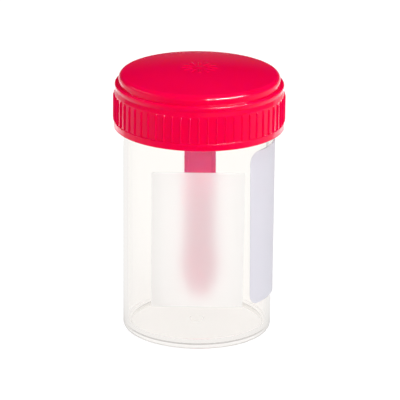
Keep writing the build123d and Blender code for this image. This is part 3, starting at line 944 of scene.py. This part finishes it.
def floor_material():
    """Pale floor: white to the eye and through the cup, with a faint shadow left in it."""
    material, tree = with_nodes(bpy.data.materials.new("Floor"))
    path = add_node(tree, "ShaderNodeLightPath").outputs
    seen = seen_or_inside(tree, path)
    mirrored = maths(tree, "MAXIMUM", maths(tree, "SUBTRACT", path["Is Glossy Ray"], seen), 0.0)
    tone = mix_colours(tree, seen, opaque([FLOOR_TONE] * 3), opaque([FLOOR_SHADE] * 3))
    tone = mix_colours(tree, mirrored, tone, opaque([FLOOR_MIRRORED] * 3))
    matt = output(tree, "BsdfDiffuse", {"Color": tone})
    place = add_node(tree, "ShaderNodeNewGeometry").outputs["Position"]
    x, y, _ = add_node(tree, "ShaderNodeSeparateXYZ", {0: place}).outputs
    distance = radial(tree, x, y)
    aside = maths(tree, "ABSOLUTE", x)
    round_about = ramp(tree, maths(tree, "DIVIDE", y, distance), *ROUND_EDGE, 0.0, ROUND_LEVEL)
    behind = ramp(tree, y, *STRIP_NEAR, round_about, STRIP_LEVEL)
    strip = ramp(tree, aside, *STRIP_SIDE, behind, round_about)
    patch = ramp(tree, y, *PATCH_NEAR, 0.0, PATCH_LEVEL)
    for value, inner, outer in ((distance, PATCH_INNER, PATCH_OUTER), (aside, PATCH_START, PATCH_END)):
        patch = ramp(tree, value, *inner, 0.0, patch)
        patch = ramp(tree, value, *outer, patch, 0.0)
    mirrored = times(tree, mirrored, maths(tree, "MAXIMUM", strip, patch))
    strength = maths(tree, "MULTIPLY_ADD", seen, FLOOR_GLOW, mirrored)
    glow = output(tree, "Emission", {"Strength": strength})
    add_node(tree, "ShaderNodeOutputMaterial", {"Surface": output(tree, "AddShader", {0: matt, 1: glow})})
    return material


def studio_world(ambient):
    """Even pale surroundings: white where they are seen or shine through, quiet in reflections.

    They light the container more from above and from the right, and mirror only near the horizon.
    """
    world, tree = with_nodes(bpy.data.worlds.new("Studio"))
    path = add_node(tree, "ShaderNodeLightPath").outputs
    way = add_node(tree, "ShaderNodeTexCoord").outputs["Generated"]
    x, _, z = add_node(tree, "ShaderNodeSeparateXYZ", {0: way}).outputs
    horizon = ramp(tree, z, *HORIZON_EDGE, HORIZON_LEVEL, 0.0)
    high = ramp(tree, z, *OVERHEAD_EDGE, ambient, OVERHEAD_TIMES * ambient)
    across = ramp(tree, x, -1.0, 1.0, LEFT_SHARE, RIGHT_SHARE)
    plain = mix_values(tree, path["Is Glossy Ray"], times(tree, high, across), horizon)
    level = mix_values(tree, seen_or_inside(tree, path), plain, 1.0)
    add_node(tree, "ShaderNodeOutputWorld", {"Surface": output(tree, "Background", {"Strength": level})})
    return world


class SPECIMEN_OT_stage(bpy.types.Operator):
    """Set the pale floor, the soft lights, the surroundings and the camera"""

    bl_idname = "specimen.stage"
    bl_label = "Stage"

    def execute(self, context):
        scene = context.scene
        stage = scene.specimen_stage
        mesh = bpy.data.meshes.new("floor")
        corners = np.array([(-1, -1, 0), (1, -1, 0), (1, 1, 0), (-1, 1, 0)]) * stage.floor_size / 2
        mesh.from_pydata(corners, [], [(0, 1, 2, 3)])
        mesh.materials.append(floor_material())
        floor = bpy.data.objects.new("floor", mesh)
        scene.collection.objects.link(floor)
        middle = (0, 0, stage.middle)
        lights = {
            name: add_light(context, name, place, middle, size, power)
            for name, (place, size, power) in LIGHTS.items()
        }
        lights["strip_light"].visible_diffuse = False
        lights["front_light"].visible_glossy = False
        scene.world = studio_world(stage.ambient)
        lens = bpy.data.cameras.new("camera")
        lens.lens = stage.lens
        lens.sensor_width = 36.0
        lens.clip_start, lens.clip_end = 0.05, 20.0
        lens.shift_x, lens.shift_y = (shift / FRAME for shift in FRAME_SHIFT)
        camera = bpy.data.objects.new("camera", lens)
        scene.collection.objects.link(camera)
        away = Vector((0, -math.cos(stage.elevation), math.sin(stage.elevation))) * stage.distance
        turn = Matrix.Rotation(math.pi / 2 - stage.elevation, 4, "X") @ Matrix.Rotation(stage.roll, 4, "Z")
        camera.matrix_world = Matrix.Translation(Vector(middle) + away) @ turn
        scene.camera = camera
        scene.view_settings.view_transform = "Standard"
        return {"FINISHED"}


class SPECIMEN_PT_parts(bpy.types.Panel):
    """The container's pieces and its stage"""

    bl_idname = "SPECIMEN_PT_parts"
    bl_label = "Specimen container"
    bl_space_type = "VIEW_3D"
    bl_region_type = "UI"
    bl_category = "Container"

    def draw(self, context):
        for piece in PIECES:
            self.layout.operator(piece.bl_idname)


SETTINGS = {
    "specimen_thread": ThreadSizes,
    "specimen_cup": CupSizes,
    "specimen_cap": CapSizes,
    "specimen_spoon": SpoonSizes,
    "specimen_label": LabelSizes,
    "specimen_colours": FinishColours,
    "specimen_stage": StageSizes,
}
PIECES = (
    SPECIMEN_OT_cup, SPECIMEN_OT_cap, SPECIMEN_OT_liner,
    SPECIMEN_OT_spoon, SPECIMEN_OT_label, SPECIMEN_OT_stage,
)


def register():
    """Register the settings, the operators and the panel."""
    for name, settings in SETTINGS.items():
        bpy.utils.register_class(settings)
        setattr(bpy.types.Scene, name, PointerProperty(type=settings))
    for piece in PIECES:
        bpy.utils.register_class(piece)
    bpy.utils.register_class(SPECIMEN_PT_parts)


def unregister():
    """Take the panel, the operators and the settings out again."""
    bpy.utils.unregister_class(SPECIMEN_PT_parts)
    for piece in reversed(PIECES):
        bpy.utils.unregister_class(piece)
    for name, settings in reversed(SETTINGS.items()):
        delattr(bpy.types.Scene, name)
        bpy.utils.unregister_class(settings)


def main():
    """Register the add-on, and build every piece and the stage."""
    register()
    bpy.ops.specimen.cup()
    bpy.ops.specimen.cap()
    bpy.ops.specimen.liner()
    bpy.ops.specimen.spoon()
    bpy.ops.specimen.label()
    bpy.ops.specimen.stage()


if __name__ == "__main__":
    main()
